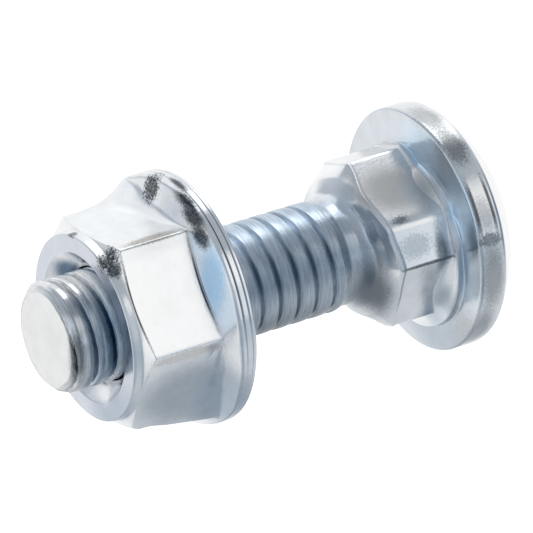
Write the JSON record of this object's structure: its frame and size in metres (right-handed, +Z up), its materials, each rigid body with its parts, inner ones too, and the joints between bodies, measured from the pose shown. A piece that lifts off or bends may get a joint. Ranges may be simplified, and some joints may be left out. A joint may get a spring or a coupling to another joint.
{
  "type": "bolt with flange nut",
  "caption": "Round-head bolt with a truncated square neck, a threaded shank and a hexagon flange nut near its tip, lying on its side.",
  "frame": {"origin": "on the floor below the middle of the whole length, where the nut's flange rests", "axes": "+X along the bolt from the head to the threaded tip, +Z up"},
  "size_m": [0.0264, 0.0134, 0.0135],
  "materials": {
    "bolt_zinc": "bright zinc-plated steel, cold forged and rolled",
    "nut_zinc": "bright zinc-plated steel, cold forged"
  },
  "bodies": {
    "bolt": {"bolt": "bolt_zinc"},
    "nut": {"flange_nut": "nut_zinc"}
  },
  "joints": [
    {"name": "nut_travel", "type": "slide", "parent": "bolt", "child": "nut", "axis": [1, 0, 0], "range_m": [-0.00763, 0.00763]}
  ]
}
